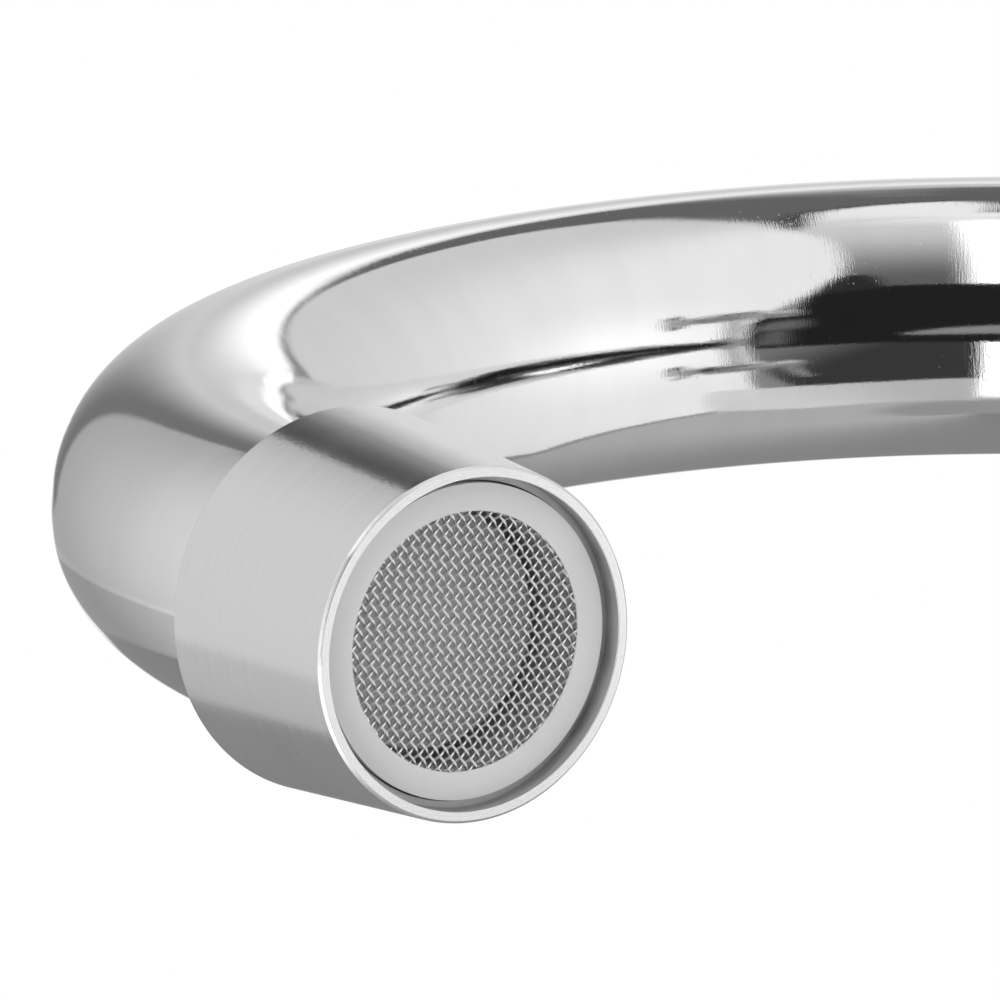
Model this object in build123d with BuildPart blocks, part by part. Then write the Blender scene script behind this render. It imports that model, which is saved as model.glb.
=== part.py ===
from build123d import *
import os
from math import hypot, radians, sqrt, tan

# Wall-mounted commercial faucet with two lever valves and a swivelling gooseneck spout.
# All sizes are in millimetres. The origin lies on the wall, midway between the supply inlets:
# X to the user's right, Y into the wall, Z up. The hot side is at -X, the cold side at +X.

# Fits
running_clearance = 0.05  # radius and end play of a piece that turns
screwed_clearance = 0.10  # radius between a screwed or pushed-in piece and its seat
seal_clearance = 0.03  # each side of an O-ring in its groove

# Supply inlets and wall flanges
inlet_spacing = 203.2
body_reach = 63.5  # wall to the axis of the bridge
socket_radius = 10.0
socket_depth = 15.0
socket_floor = 3.0
socket_wall = 5.0
flange_radius = 29.0
flange_rim = 1.6
flange_dome = 3.4
hub_chamfer = 1.0
waterway_radius = 6.0

# Union between a flange and the body
neck_wall = 3.8
lip_width = 1.7
lip_length = 3.0
washer_thickness = 2.0
union_thread_radius = 13.0
union_nut_flats = 32.0
union_nut_roof = 2.4
union_nut_grip = 8.0
union_nut_gap = 2.5  # nut's front to the boss's rear face

# Body
bridge_radius = 12.5
bridge_bore_radius = 6.5
valve_boss_radius = 19.0
valve_boss_back = 17.0  # bridge axis to the boss's rear face
valve_boss_front = 24.0  # bridge axis to the boss's front face
seat_back = 8.5  # bridge axis to the valve seat
chamber_radius = 11.5
chamber_length = 23.0
mouth_radius = 12.5
spout_boss_radius = 17.0
spout_boss_height = 22.0
spout_thread_radius = 14.2
spout_thread_length = 12.0
casting_round = 1.5
casting_fillet = 2.0

# Ceramic cartridge, measured forwards from the valve seat
seat_seal_thickness = 2.5
disc_radius = 8.65
disc_thickness = 3.0
disc_window_radius = 5.2
disc_window_width = 3.4
disc_window_span = 56.0
drive_slot_depth = 1.0
cartridge_wall = 1.6
stem_head_width = 5.0
stem_head_height = 5.0
stem_stop_gap = 0.15
stop_rib_width = 2.2
shell_window_height = 4.6
shell_flange = 2.0
stem_radius = 4.5
stem_neck_radius = 4.0
stem_square = 5.5
groove_width = 2.0
stem_groove_depth = 1.5
shell_groove_depth = 1.5

# Bonnet and lever handle
bonnet_flats = 27.0
bonnet_height = 7.0
bonnet_collar_radius = 9.5
bonnet_collar_height = 1.8
bonnet_clearance = 0.3
handle_gap = 0.8
hub_radius = 13.0
hub_round = 2.0
stem_engagement = 9.0
hub_web = 3.0
screw_head_radius = 4.3
screw_head_height = 2.8
screw_head_room = 0.5
screw_radius = 2.0
screw_length = 14.0
screw_key = 3.0
button_radius = 7.0
button_recess = 2.0
button_dome = 0.7
lever_reach = 76.0  # valve axis to the lever's tip
lever_rise = 9.0  # how far the tip stands forward of the root
lever_root_width = 14.0
lever_root_thickness = 10.0
lever_waist_width = 10.0
lever_waist_thickness = 7.6
lever_pad_width = 15.0
lever_pad_thickness = 5.6
lever_edge_round = 2.0
lever_waist_share = 0.45  # place of the waist along the arm

# Spout swivel
spigot_radius = 10.0
spigot_bore_radius = 7.5
spigot_length = 24.0
spigot_flange_radius = 13.2
spigot_flange_thickness = 3.0
spigot_sleeve_length = 12.0
spigot_groove_depth = 1.6
spigot_groove_low = 5.0
spigot_groove_step = 8.0
thrust_washer_thickness = 1.0
spout_nut_flats = 34.0
spout_nut_roof = 3.0
spout_nut_lift = 1.0
spout_nut_clearance = 0.15

# Gooseneck tube
tube_radius = 11.0
tube_wall = 1.0
bend_radius = 58.5
bend_height = 230.0  # bridge axis to the bend's centre
outlet_straight = 5.0  # bend to the back of the outlet collar

# Outlet collar
collar_length = 18.4
collar_back_radius = 14.3
collar_front_radius = 13.1
collar_edge = 0.22
tube_socket_depth = 5.0
collar_web = 1.2
collar_web_bore_radius = 8.6
rim_bore_radius = 12.25
rim_bore_depth = 1.7

# Aerator, measured up from the collar's rim
aerator_radius = 11.62
aerator_recess = 1.25
aerator_lip = 0.2
aerator_lip_radius = 9.57
aerator_bore_radius = 10.2
aerator_bore_start = 3.5
aerator_throat_radius = 9.45
screen_radius = 10.0
screen_thickness = 0.3
screen_mesh_pitch = 1.04
screen_mesh_opening = 0.74
screen_turn = 32.7  # degrees between the wires and the Y axis
screen_clearance = 0.05
deflector_depth = 6.6
deflector_radius = 8.85
deflector_thickness = 1.2
jet_plate_thickness = 1.2
jet_plate_gap = 1.4
jet_post_radius = 0.9
jet_post_circle_radius = 7.0
jet_post_count = 6
jet_hole_radius = 0.7
jet_hole_circle_radii = (3.2, 5.4, 8.4)
jet_hole_counts = (8, 14, 24)
outlet_washer_thickness = 1.4
outlet_washer_width = 2.6

# Hexagons, and the difference under which two radii count as one
corner_chamfer_angle = 30.0
same_radius = 0.001

# Places that follow from the sizes above
valve_x = -inlet_spacing / 2
body_y = -body_reach
hub_end_y = -(socket_depth + socket_floor)
boss_back_y = body_y + valve_boss_back
spigot_face_y = boss_back_y + union_nut_gap + union_nut_grip
union_face_y = spigot_face_y + washer_thickness
lip_back_y = union_face_y + lip_length
boss_front_y = body_y - valve_boss_front
seat_y = body_y + seat_back
neck_radius = waterway_radius + neck_wall
lip_radius = neck_radius + lip_width
socket_hub_radius = socket_radius + socket_wall

fixed_disc_y = seat_y - seat_seal_thickness
moving_disc_y = fixed_disc_y - disc_thickness - running_clearance
moving_disc_front_y = moving_disc_y - disc_thickness
stem_head_y = moving_disc_front_y + drive_slot_depth - running_clearance
stem_head_front_y = moving_disc_front_y - stem_head_height
cavity_front_y = stem_head_front_y - running_clearance
shell_step_y = seat_y - chamber_length
shell_front_y = shell_step_y - shell_flange
cavity_radius = disc_radius + running_clearance
stem_head_radius = cavity_radius - 2 * running_clearance
shell_foot_radius = cavity_radius + cartridge_wall
shell_body_radius = chamber_radius - screwed_clearance
bearing_radius = stem_radius + running_clearance
seal_middle_y = (cavity_front_y + shell_front_y) / 2

bonnet_front_y = boss_front_y - bonnet_height
hub_back_y = bonnet_front_y - bonnet_collar_height - handle_gap
stem_end_y = hub_back_y - stem_engagement
screw_seat_y = stem_end_y - running_clearance - hub_web
button_seat_y = screw_seat_y - screw_head_height - screw_head_room
hub_front_y = button_seat_y - button_recess
lever_y = (hub_back_y + hub_front_y) / 2

boss_top_z = spout_boss_height + spout_thread_length
flange_low_z = boss_top_z + thrust_washer_thickness + running_clearance
flange_top_z = flange_low_z + spigot_flange_thickness
slip_ring_z = flange_top_z + running_clearance
nut_roof_z = slip_ring_z + thrust_washer_thickness
spout_bore_radius = spigot_radius + running_clearance

outlet_y = body_y - 2 * bend_radius
collar_back_z = bend_height - outlet_straight
rim_z = collar_back_z - collar_length
tube_end_z = collar_back_z - tube_socket_depth
web_z = tube_end_z - collar_web
collar_thread_radius = aerator_radius + screwed_clearance
aerator_z = rim_z + aerator_recess
screen_z = aerator_z + aerator_lip
screen_top_z = screen_z + screen_thickness
deflector_z = rim_z + deflector_depth
jet_plate_z = deflector_z + deflector_thickness + jet_plate_gap
jet_plate_top_z = jet_plate_z + jet_plate_thickness
aerator_top_z = web_z - outlet_washer_thickness

# Profiles are drawn as (radius, distance along the axis) on one of these planes.
valve_profile = Plane(origin=(valve_x, 0, 0), x_dir=(1, 0, 0), z_dir=(0, 0, 1))
riser_profile = Plane(origin=(0, body_y, 0), x_dir=(1, 0, 0), z_dir=(0, -1, 0))
outlet_profile = Plane(origin=(0, outlet_y, 0), x_dir=(1, 0, 0), z_dir=(0, -1, 0))


def valve_face(y):
    """A plane square to the hot valve's axis, looking at the user."""
    return Plane(origin=(valve_x, y, 0), x_dir=(1, 0, 0), z_dir=(0, -1, 0))


def outlet_face(z):
    """A plane square to the outlet's axis, looking up, turned with the screen's wires."""
    return Plane(origin=(0, outlet_y, z), x_dir=(1, 0, 0), z_dir=(0, 0, 1))


def turn(profile, *points, mode=Mode.ADD):
    """Turn a closed outline of (radius, distance) points about its profile plane's axis."""
    with BuildSketch(profile, mode=Mode.PRIVATE) as outline:
        with BuildLine():
            Polyline(*points, close=True)
        make_face()
    revolve(outline.sketch, axis=Axis(profile.origin, profile.y_dir), mode=mode)


def turn_ring(profile, inner, outer, start, end, mode=Mode.ADD):
    """Turn a plain ring between two radii and two distances along the axis."""
    turn(profile, (inner, start), (outer, start), (outer, end), (inner, end), mode=mode)


def hexagon(profile, flats, start, end):
    """A hexagonal blank along the profile's axis, with its corners knocked off at both ends."""
    corner = flats / sqrt(3)
    knock = (corner - flats / 2) * tan(radians(corner_chamfer_angle))
    step = knock if end > start else -knock
    base = Plane(profile.origin + profile.y_dir * start, z_dir=profile.y_dir)
    with BuildSketch(base, mode=Mode.PRIVATE) as outline:
        RegularPolygon(flats / 2, 6, major_radius=False)
    extrude(outline.sketch, amount=end - start)
    turn(
        profile,
        (0, start),
        (flats / 2, start),
        (corner, start + step),
        (corner, end - step),
        (flats / 2, end),
        (0, end),
        mode=Mode.INTERSECT,
    )


def circles(piece, radius):
    """The piece's circular edges of one radius, the one nearest the user first."""
    rims = piece.edges().filter_by(GeomType.CIRCLE)
    return rims.filter_by(lambda edge: abs(edge.radius - radius) < same_radius).sort_by(Axis.Y)


def o_ring(profile, groove_radius, bore_radius, middle):
    """An O-ring that sits in a groove of a shaft, inside a bore."""
    section = (bore_radius - groove_radius) / 2 - seal_clearance
    centre = profile.from_local_coords(((bore_radius + groove_radius) / 2, middle, 0))
    ring_section = Plane(centre, x_dir=profile.x_dir, z_dir=profile.z_dir)
    with BuildSketch(ring_section, mode=Mode.PRIVATE) as outline:
        Circle(section)
    revolve(outline.sketch, axis=Axis(profile.origin, profile.y_dir))


def save(piece, name):
    """Label a finished piece and write it."""
    piece.part.label = name
    export_step(piece.part, f"parts/{name}.step")


def save_pair(piece, name):
    """Write a hot-side piece, and its mirror image for the cold side."""
    save(piece, f"hot_{name}")
    with BuildPart() as mirrored:
        mirror(piece.part, about=Plane.YZ)
    save(mirrored, f"cold_{name}")


def make_body():
    """The cast body: bridge, two valve bosses with union spigots, and the spout boss."""
    ends = [Plane(origin=(x, 0, 0), x_dir=(1, 0, 0), z_dir=(0, 0, 1)) for x in (valve_x, -valve_x)]
    with BuildPart() as body:
        with Locations((0, body_y, 0)):
            Cylinder(bridge_radius, inlet_spacing, rotation=(0, 90, 0))
            Sphere(spout_boss_radius)
        turn_ring(riser_profile, 0, spout_boss_radius, 0, spout_boss_height)
        for end in ends:
            turn_ring(end, 0, valve_boss_radius, boss_back_y, boss_front_y)
        fillet(circles(body, valve_boss_radius), casting_round)
        fillet(body.edges().filter_by(GeomType.BSPLINE), casting_fillet)
        turn_ring(riser_profile, 0, spout_thread_radius, 0, boss_top_z)
        for end in ends:
            turn_ring(end, 0, union_thread_radius, spigot_face_y, seat_y)
        with Locations((0, body_y, 0)):
            Cylinder(bridge_bore_radius, inlet_spacing, rotation=(0, 90, 0), mode=Mode.SUBTRACT)
        turn_ring(riser_profile, 0, spout_bore_radius, 0, boss_top_z, mode=Mode.SUBTRACT)
        for end in ends:
            turn_ring(end, 0, waterway_radius, spigot_face_y, seat_y, mode=Mode.SUBTRACT)
            turn_ring(end, 0, chamber_radius, seat_y, shell_step_y, mode=Mode.SUBTRACT)
            turn_ring(end, 0, mouth_radius, shell_step_y, boss_front_y, mode=Mode.SUBTRACT)
    return body


def make_inlet_flange():
    """The wall flange, its threaded socket, and the lipped neck that the union nut pulls on."""
    with BuildPart() as flange:
        turn(
            valve_profile,
            (socket_radius, 0),
            (flange_radius, 0),
            (flange_radius, -flange_rim),
            (socket_hub_radius, -flange_rim - flange_dome),
            (socket_hub_radius, hub_end_y),
            (neck_radius, hub_end_y),
            (neck_radius, lip_back_y),
            (lip_radius, lip_back_y),
            (lip_radius, union_face_y),
            (waterway_radius, union_face_y),
            (waterway_radius, -socket_depth),
            (socket_radius, -socket_depth),
        )
        chamfer(circles(flange, socket_hub_radius)[0], hub_chamfer)
        fillet(circles(flange, socket_hub_radius)[-1], flange_dome)
        fillet(circles(flange, flange_radius)[0], flange_rim / 2)
    return flange


def make_union_nut():
    """The hexagonal nut that holds a flange's neck against the body's spigot."""
    back = lip_back_y + union_nut_roof
    front = spigot_face_y - union_nut_grip
    with BuildPart() as nut:
        hexagon(valve_profile, union_nut_flats, back, front)
        turn_ring(valve_profile, 0, neck_radius + screwed_clearance, back, lip_back_y, mode=Mode.SUBTRACT)
        thread = union_thread_radius + screwed_clearance
        turn_ring(valve_profile, 0, thread, lip_back_y, front, mode=Mode.SUBTRACT)
    return nut


def make_union_washer():
    """The flat washer between a flange's lip and the body's spigot."""
    with BuildPart() as washer:
        turn_ring(valve_profile, waterway_radius, lip_radius, union_face_y, spigot_face_y)
    return washer


def make_seat_seal():
    """The rubber ring between the valve seat and the fixed disc."""
    with BuildPart() as seal:
        inner = waterway_radius + screwed_clearance
        turn_ring(valve_profile, inner, disc_radius, seat_y, fixed_disc_y)
    return seal


def cut_disc_windows(back_y, first_angle):
    """Cut the two kidney-shaped windows of a ceramic disc."""
    half_span = disc_window_span / 2
    path = Edge.make_circle(disc_window_radius, start_angle=-half_span, end_angle=half_span)
    with BuildSketch(valve_face(back_y), mode=Mode.PRIVATE) as windows:
        with PolarLocations(0, 2, start_angle=first_angle):
            SlotArc(path, disc_window_width)
    extrude(windows.sketch, amount=disc_thickness, mode=Mode.SUBTRACT)


def make_fixed_disc():
    """The ceramic disc that stays still, with its windows towards the bridge."""
    with BuildPart() as disc:
        turn_ring(valve_profile, 0, disc_radius, fixed_disc_y, fixed_disc_y - disc_thickness)
        cut_disc_windows(fixed_disc_y, 0)
    return disc


def make_moving_disc():
    """The ceramic disc that the stem turns, closed at rest, with a slot for the stem's head."""
    with BuildPart() as disc:
        turn_ring(valve_profile, 0, disc_radius, moving_disc_y, moving_disc_front_y)
        cut_disc_windows(moving_disc_y, 90)
        with BuildSketch(valve_face(moving_disc_front_y)):
            Rectangle(2 * disc_radius, stem_head_width + 2 * running_clearance)
        extrude(amount=-drive_slot_depth, mode=Mode.SUBTRACT)
    return disc


def make_cartridge_shell():
    """The cartridge's housing: disc chamber, side windows, turn stops, seal groove and bearing."""
    groove_back_y = seal_middle_y + groove_width / 2
    groove_front_y = seal_middle_y - groove_width / 2
    groove_radius = shell_body_radius - shell_groove_depth
    foot_front_y = cavity_front_y
    with BuildPart() as shell:
        turn_ring(valve_profile, 0, shell_foot_radius, seat_y, foot_front_y)
        turn_ring(valve_profile, 0, shell_body_radius, foot_front_y, shell_step_y)
        turn_ring(valve_profile, 0, mouth_radius - screwed_clearance, shell_step_y, shell_front_y)
        turn_ring(valve_profile, 0, cavity_radius, seat_y, cavity_front_y, mode=Mode.SUBTRACT)
        turn_ring(valve_profile, 0, bearing_radius, cavity_front_y, shell_front_y, mode=Mode.SUBTRACT)
        turn_ring(
            valve_profile,
            groove_radius,
            shell_body_radius + 1,
            groove_back_y,
            groove_front_y,
            mode=Mode.SUBTRACT,
        )
        window_y = (moving_disc_front_y + cavity_front_y) / 2
        with Locations((valve_x, window_y, 0)):
            Box(2 * chamber_radius, shell_window_height, stem_head_width, mode=Mode.SUBTRACT)
        stop = stem_head_width / 2 + stem_stop_gap
        with BuildSketch(valve_face(moving_disc_front_y - running_clearance)):
            Circle(cavity_radius + cartridge_wall / 2)
            Circle(cavity_radius - stop_rib_width, mode=Mode.SUBTRACT)
            half = shell_foot_radius / 2
            with BuildSketch(mode=Mode.INTERSECT):
                with Locations((-stop - half, stop + half), (stop + half, -stop - half)):
                    Rectangle(2 * half, 2 * half)
        extrude(amount=stem_head_height)
    return shell


def make_shell_seal():
    """The O-ring that seals a cartridge in its chamber."""
    with BuildPart() as seal:
        o_ring(valve_profile, shell_body_radius - shell_groove_depth, chamber_radius, seal_middle_y)
    return seal


def make_stem():
    """The valve stem: a bar that drives the moving disc, a sealed shaft and a square end."""
    with BuildPart() as stem:
        with BuildSketch(valve_face(stem_head_y)):
            Circle(stem_head_radius)
            Rectangle(2 * stem_head_radius, stem_head_width, mode=Mode.INTERSECT)
        extrude(amount=stem_head_y - stem_head_front_y)
        turn_ring(valve_profile, 0, stem_radius, stem_head_front_y, shell_front_y)
        turn_ring(valve_profile, 0, stem_neck_radius, shell_front_y, hub_back_y)
        turn_ring(
            valve_profile,
            stem_radius - stem_groove_depth,
            stem_radius + 1,
            seal_middle_y + groove_width / 2,
            seal_middle_y - groove_width / 2,
            mode=Mode.SUBTRACT,
        )
        with BuildSketch(valve_face(hub_back_y)):
            Rectangle(stem_square, stem_square)
        extrude(amount=stem_engagement)
        bottom = stem_end_y + screw_length - hub_web
        turn_ring(valve_profile, 0, screw_radius + running_clearance, bottom, stem_end_y, mode=Mode.SUBTRACT)
    return stem


def make_stem_seal():
    """The O-ring on the stem."""
    with BuildPart() as seal:
        o_ring(valve_profile, stem_radius - stem_groove_depth, bearing_radius, seal_middle_y)
    return seal


def make_bonnet():
    """The hexagonal bonnet that screws into the boss and holds the cartridge down."""
    with BuildPart() as bonnet:
        hexagon(valve_profile, bonnet_flats, boss_front_y, bonnet_front_y)
        collar_front_y = bonnet_front_y - bonnet_collar_height
        turn_ring(valve_profile, 0, bonnet_collar_radius, bonnet_front_y, collar_front_y)
        turn_ring(valve_profile, 0, mouth_radius - screwed_clearance, shell_front_y, boss_front_y)
        hole = stem_neck_radius + bonnet_clearance
        turn_ring(valve_profile, 0, hole, shell_front_y, collar_front_y, mode=Mode.SUBTRACT)
    return bonnet


def make_lever():
    """The lever handle: a round hub on the stem, and an arm that swells to a rounded pad."""
    waist_x = -lever_reach * lever_waist_share
    pad_x = -lever_reach + lever_pad_width / 2
    tip_y = lever_y - lever_rise
    waist_y = lever_y - lever_rise * lever_waist_share**2
    with BuildPart() as lever:
        with BuildSketch(valve_face(lever_y)):
            with BuildLine():
                upper = Spline(
                    (0, lever_root_width / 2),
                    (waist_x, lever_waist_width / 2),
                    (pad_x, lever_pad_width / 2),
                    tangents=[(-1, 0), (-1, 0)],
                )
                mirror(upper, about=Plane.XZ)
                ThreePointArc(upper @ 1, (-lever_reach, 0), (pad_x, -lever_pad_width / 2))
                Line((0, -lever_root_width / 2), (0, lever_root_width / 2))
            make_face()
        extrude(amount=lever_rise + lever_root_thickness, both=True)
        with BuildSketch(valve_profile, mode=Mode.PRIVATE) as side:
            with BuildLine():
                for half_root, half_waist, half_pad in (
                    (lever_root_thickness / 2, lever_waist_thickness / 2, lever_pad_thickness / 2),
                    (-lever_root_thickness / 2, -lever_waist_thickness / 2, -lever_pad_thickness / 2),
                ):
                    Spline(
                        (0, lever_y + half_root),
                        (waist_x, waist_y + half_waist),
                        (-lever_reach - 1, tip_y + half_pad),
                    )
                Line((0, lever_y - lever_root_thickness / 2), (0, lever_y + lever_root_thickness / 2))
                Line(
                    (-lever_reach - 1, tip_y - lever_pad_thickness / 2),
                    (-lever_reach - 1, tip_y + lever_pad_thickness / 2),
                )
            make_face()
        extrude(side.sketch, amount=lever_pad_width + lever_root_width, both=True, mode=Mode.INTERSECT)
        fillet(lever.edges().filter_by(lambda edge: edge.center().X < valve_x - hub_radius), lever_edge_round)
        turn_ring(valve_profile, 0, hub_radius, hub_back_y, hub_front_y)
        hub_edges = lever.edges().filter_by(GeomType.CIRCLE).sort_by(Axis.Y)
        fillet([hub_edges[0], hub_edges[-1]], hub_round)
        with BuildSketch(valve_face(hub_back_y)):
            Rectangle(stem_square + 2 * running_clearance, stem_square + 2 * running_clearance)
        extrude(amount=stem_engagement + running_clearance, mode=Mode.SUBTRACT)
        hole = screw_radius + screwed_clearance
        turn_ring(valve_profile, 0, hole, hub_back_y, screw_seat_y, mode=Mode.SUBTRACT)
        head = screw_head_radius + screwed_clearance
        turn_ring(valve_profile, 0, head, screw_seat_y, button_seat_y, mode=Mode.SUBTRACT)
        recess = button_radius + screwed_clearance
        turn_ring(valve_profile, 0, recess, button_seat_y, hub_front_y, mode=Mode.SUBTRACT)
    return lever


def make_lever_screw():
    """The socket-head screw that holds a lever on its stem."""
    head_y = screw_seat_y - screw_head_height
    with BuildPart() as screw:
        tip_y = screw_seat_y + screw_length - running_clearance
        turn_ring(valve_profile, 0, screw_radius, screw_seat_y, tip_y)
        turn_ring(valve_profile, 0, screw_head_radius, screw_seat_y, head_y)
        with BuildSketch(valve_face(head_y)):
            RegularPolygon(screw_key / 2, 6, major_radius=False)
        extrude(amount=-screw_head_height / 2, mode=Mode.SUBTRACT)
    return screw


def make_index_button():
    """The coloured button that closes a lever's hub."""
    with BuildPart() as button:
        turn_ring(valve_profile, 0, button_radius, button_seat_y, hub_front_y - button_dome)
        front = button.edges().filter_by(GeomType.CIRCLE).sort_by(Axis.Y)[0]
        fillet(front, button_dome)
    return button


def make_spout_spigot():
    """The spout's swivel foot: a grooved spigot in the boss, a flange, and a sleeve in the tube."""
    low_z = flange_low_z - spigot_length
    sleeve_radius = tube_radius - tube_wall - running_clearance
    with BuildPart() as spigot:
        turn_ring(riser_profile, 0, spigot_radius, low_z, flange_low_z)
        turn_ring(riser_profile, 0, spigot_flange_radius, flange_low_z, flange_top_z)
        turn_ring(riser_profile, 0, sleeve_radius, flange_top_z, flange_top_z + spigot_sleeve_length)
        top_z = flange_top_z + spigot_sleeve_length
        turn_ring(riser_profile, 0, spigot_bore_radius, low_z, top_z, mode=Mode.SUBTRACT)
        for middle_z in spigot_groove_middles():
            turn_ring(
                riser_profile,
                spigot_radius - spigot_groove_depth,
                spigot_radius + 1,
                middle_z - groove_width / 2,
                middle_z + groove_width / 2,
                mode=Mode.SUBTRACT,
            )
    return spigot


def spigot_groove_middles():
    """The heights of the spigot's two seal grooves."""
    low_z = flange_low_z - spigot_length + spigot_groove_low
    return (low_z, low_z + spigot_groove_step)


def make_spigot_seals():
    """The two O-rings on the spout's spigot."""
    with BuildPart() as seals:
        for middle_z in spigot_groove_middles():
            o_ring(riser_profile, spigot_radius - spigot_groove_depth, spout_bore_radius, middle_z)
    return seals


def make_thrust_washer():
    """The washer that the spout's flange turns on."""
    with BuildPart() as washer:
        inner = spout_bore_radius + screwed_clearance
        outer = spout_thread_radius - screwed_clearance
        turn_ring(riser_profile, inner, outer, boss_top_z, boss_top_z + thrust_washer_thickness)
    return washer


def make_slip_ring():
    """The ring between the spout's flange and the roof of the spout nut."""
    with BuildPart() as ring:
        inner = tube_radius + spout_nut_clearance
        turn_ring(riser_profile, inner, spout_thread_radius, slip_ring_z, nut_roof_z)
    return ring


def make_spout_nut():
    """The hexagonal nut that keeps the spout in the body."""
    low_z = spout_boss_height + spout_nut_lift
    top_z = nut_roof_z + spout_nut_roof
    with BuildPart() as nut:
        hexagon(riser_profile, spout_nut_flats, low_z, top_z)
        thread = spout_thread_radius + screwed_clearance
        turn_ring(riser_profile, 0, thread, low_z, nut_roof_z, mode=Mode.SUBTRACT)
        hole = tube_radius + spout_nut_clearance
        turn_ring(riser_profile, 0, hole, nut_roof_z, top_z, mode=Mode.SUBTRACT)
    return nut


def make_spout_tube():
    """The gooseneck: a riser, a half-turn bend and a short leg down into the collar."""
    with BuildPart() as tube:
        with BuildLine(Plane.YZ):
            Line((body_y, flange_top_z), (body_y, bend_height))
            CenterArc((body_y - bend_radius, bend_height), bend_radius, 0, 180)
            Line((outlet_y, bend_height), (outlet_y, tube_end_z))
        with BuildSketch(Plane(origin=(0, body_y, flange_top_z))):
            Circle(tube_radius)
            Circle(tube_radius - tube_wall, mode=Mode.SUBTRACT)
        sweep()
    return tube


def make_outlet_collar():
    """The tapered collar on the tube's end, threaded inside for the aerator."""
    socket_radius_here = tube_radius + running_clearance
    with BuildPart() as collar:
        turn(
            outlet_profile,
            (rim_bore_radius, rim_z),
            (collar_front_radius - collar_edge, rim_z),
            (collar_front_radius, rim_z + collar_edge),
            (collar_back_radius, collar_back_z - collar_edge),
            (collar_back_radius - collar_edge, collar_back_z),
            (socket_radius_here, collar_back_z),
            (socket_radius_here, tube_end_z),
            (collar_web_bore_radius, tube_end_z),
            (collar_web_bore_radius, web_z),
            (collar_thread_radius, web_z),
            (collar_thread_radius, rim_z + rim_bore_depth),
            (rim_bore_radius, rim_z + rim_bore_depth),
        )
    return collar


def make_aerator_body():
    """The aerator's plastic body: a front ring that holds the screen, a throat and a chamber."""
    throat_z = rim_z + aerator_bore_start
    groove_radius = screen_radius + screen_clearance
    with BuildPart() as aerator:
        turn_ring(outlet_profile, 0, aerator_radius, aerator_z, aerator_top_z)
        turn_ring(outlet_profile, 0, aerator_lip_radius, aerator_z, screen_z, mode=Mode.SUBTRACT)
        turn_ring(outlet_profile, 0, groove_radius, screen_z, screen_top_z, mode=Mode.SUBTRACT)
        turn_ring(outlet_profile, 0, aerator_throat_radius, screen_top_z, throat_z, mode=Mode.SUBTRACT)
        turn_ring(outlet_profile, 0, aerator_bore_radius, throat_z, jet_plate_z, mode=Mode.SUBTRACT)
        seat_radius = aerator_bore_radius + aerator_lip
        turn_ring(outlet_profile, 0, seat_radius, jet_plate_z, aerator_top_z, mode=Mode.SUBTRACT)
    return aerator


def make_screen(low_z, radius, pitch, opening):
    """A round screen: a thin disc with one square hole between each pair of wires."""
    reach = radius - pitch / 2 - opening / sqrt(2)
    cells = int(reach / pitch) + 1
    steps = [pitch * step for step in range(-cells, cells + 1)]
    holes = [(x, y) for x in steps for y in steps if hypot(x, y) < reach]
    plane = Plane(origin=(0, outlet_y, low_z), x_dir=(1, 0, 0)).rotated((0, 0, 90 - screen_turn))
    with BuildPart() as screen:
        with BuildSketch(plane):
            Circle(radius)
            with Locations(*holes):
                Rectangle(opening, opening, mode=Mode.SUBTRACT)
        extrude(amount=screen_thickness)
    return screen


def make_flow_plate():
    """The jet plate and the deflector in front of it, joined by posts."""
    with BuildPart() as plate:
        with BuildSketch(outlet_face(deflector_z)):
            Circle(deflector_radius)
        extrude(amount=deflector_thickness)
        with BuildSketch(outlet_face(deflector_z + deflector_thickness)):
            with PolarLocations(jet_post_circle_radius, jet_post_count):
                Circle(jet_post_radius)
        extrude(amount=jet_plate_gap)
        with BuildSketch(outlet_face(jet_plate_z)):
            Circle(aerator_bore_radius + aerator_lip - screen_clearance)
            for radius, count in zip(jet_hole_circle_radii, jet_hole_counts):
                with PolarLocations(radius, count):
                    Circle(jet_hole_radius, mode=Mode.SUBTRACT)
        extrude(amount=jet_plate_thickness)
    return plate


def make_outlet_washer():
    """The washer between the aerator and the collar's web."""
    with BuildPart() as washer:
        inner = aerator_radius - outlet_washer_width
        turn_ring(outlet_profile, inner, aerator_radius, aerator_top_z, web_z)
    return washer


os.makedirs("parts", exist_ok=True)

save(make_body(), "body")
save_pair(make_inlet_flange(), "inlet_flange")
save_pair(make_union_nut(), "union_nut")
save_pair(make_union_washer(), "union_washer")
save_pair(make_seat_seal(), "seat_seal")
save_pair(make_fixed_disc(), "fixed_disc")
save_pair(make_moving_disc(), "moving_disc")
save_pair(make_cartridge_shell(), "cartridge_shell")
save_pair(make_shell_seal(), "cartridge_seal")
save_pair(make_stem(), "valve_stem")
save_pair(make_stem_seal(), "stem_seal")
save_pair(make_bonnet(), "bonnet")
save_pair(make_lever(), "lever")
save_pair(make_lever_screw(), "lever_screw")
save_pair(make_index_button(), "index_button")
save(make_spout_nut(), "spout_nut")
save(make_thrust_washer(), "spout_thrust_washer")
save(make_slip_ring(), "spout_slip_ring")
save(make_spout_spigot(), "spout_spigot")
save(make_spigot_seals(), "spout_seals")
save(make_spout_tube(), "spout_tube")
save(make_outlet_collar(), "outlet_collar")
save(make_aerator_body(), "aerator_body")
save(make_flow_plate(), "aerator_flow_plate")
save(make_outlet_washer(), "aerator_washer")
save(make_screen(screen_z, screen_radius, screen_mesh_pitch, screen_mesh_opening), "aerator_outlet_screen")
inlet_screen_pitch = 1.6 * screen_mesh_pitch
inlet_screen_opening = 1.6 * screen_mesh_opening
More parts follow.
